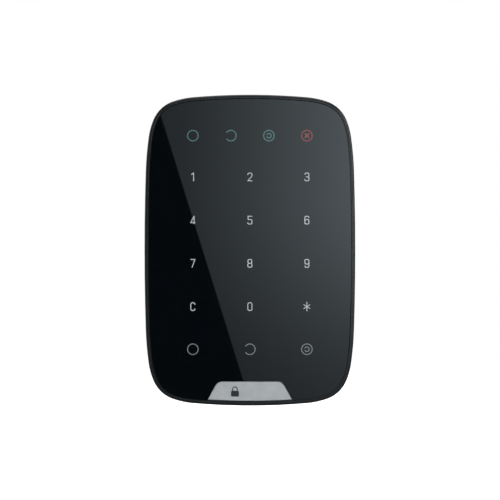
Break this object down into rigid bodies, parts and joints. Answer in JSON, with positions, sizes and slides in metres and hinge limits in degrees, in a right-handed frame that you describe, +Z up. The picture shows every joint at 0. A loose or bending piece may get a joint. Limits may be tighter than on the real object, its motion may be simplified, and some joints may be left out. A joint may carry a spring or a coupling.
{
  "type": "alarm keypad panel",
  "caption": "Slim wall-mounted touch keypad with a glossy black face, rounded outline, battery bays at the back and a slide-off wall bracket.",
  "frame": {"origin": "centre of the four wall screw holes, on the wall plane behind the keypad", "axes": "+X to the right seen from the front, +Y into the wall, +Z up"},
  "size_m": [0.1018, 0.014, 0.15],
  "materials": {
    "housing_black": "fine matt",
    "lens_black": "polished",
    "legend_white": "polished",
    "legend_grey": "polished",
    "legend_teal": "polished",
    "legend_red": "polished",
    "badge_silver": "satin",
    "badge_ink": "matt",
    "tape_black": "matt",
    "film_white": "satin",
    "pcb_green": "satin",
    "led_body": "satin",
    "chip_black": "matt",
    "capacitor_can": "satin",
    "shield_tin": "satin",
    "antenna_tin": "satin",
    "buzzer_black": "matt",
    "disc_brass": "satin",
    "cell_sleeve": "satin",
    "contact_nickel": "satin",
    "button_grey": "satin",
    "switch_black": "matt",
    "plunger_white": "satin",
    "spring_steel": "bright",
    "screw_steel": "blackened",
    "label_silver": "satin",
    "bracket_black": "fine matt"
  },
  "bodies": {
    "bracket": {"wall_bracket": "bracket_black", "bracket_hooks": "bracket_black"},
    "keypad": {"front_housing": "housing_black", "rear_housing": "housing_black", "touch_lens": "lens_black", "key_digits": "legend_white", "mode_key_icons": "legend_grey", "status_icons": "legend_teal", "fault_icon": "legend_red", "badge_plate": "badge_silver", "badge_mark": "badge_ink", "lens_tape": "tape_black", "light_guide_film": "film_white", "touch_pcb": "pcb_green", "key_leds": "led_body", "status_leds": "led_body", "capacitors": "capacitor_can", "microcontroller": "chip_black", "touch_controller": "chip_black", "radio_chip": "chip_black", "radio_shield": "shield_tin", "antenna": "antenna_tin", "buzzer_cup": "buzzer_black", "buzzer_disc": "disc_brass", "battery_cells": "cell_sleeve", "battery_terminals": "contact_nickel", "battery_springs": "contact_nickel", "power_switch": "switch_black", "tamper_switch": "switch_black", "tamper_spring": "spring_steel", "case_screws": "screw_steel", "rear_label": "label_silver"},
    "tamper_plunger": {"tamper_plunger": "plunger_white"},
    "power_button": {"power_button": "button_grey", "power_switch_stem": "plunger_white"}
  },
  "joints": [
    {"name": "keypad_lift", "type": "slide", "parent": "bracket", "child": "keypad", "axis": [0, 0, 1], "range_m": [0, 0.01]},
    {"name": "tamper_travel", "type": "slide", "parent": "keypad", "child": "tamper_plunger", "axis": [0, 1, 0], "range_m": [0, 0.001], "stiffness_N_per_m": 100, "springref_m": 0.002, "deforming": ["tamper_spring"]},
    {"name": "power_press", "type": "slide", "parent": "keypad", "child": "power_button", "axis": [0, -1, 0], "range_m": [0, 0.0006], "stiffness_N_per_m": 500, "springref_m": -0.0006}
  ],
  "couplings": [
    {"joint": "tamper_travel", "follows": "keypad_lift", "ratio": 0.1}
  ]
}
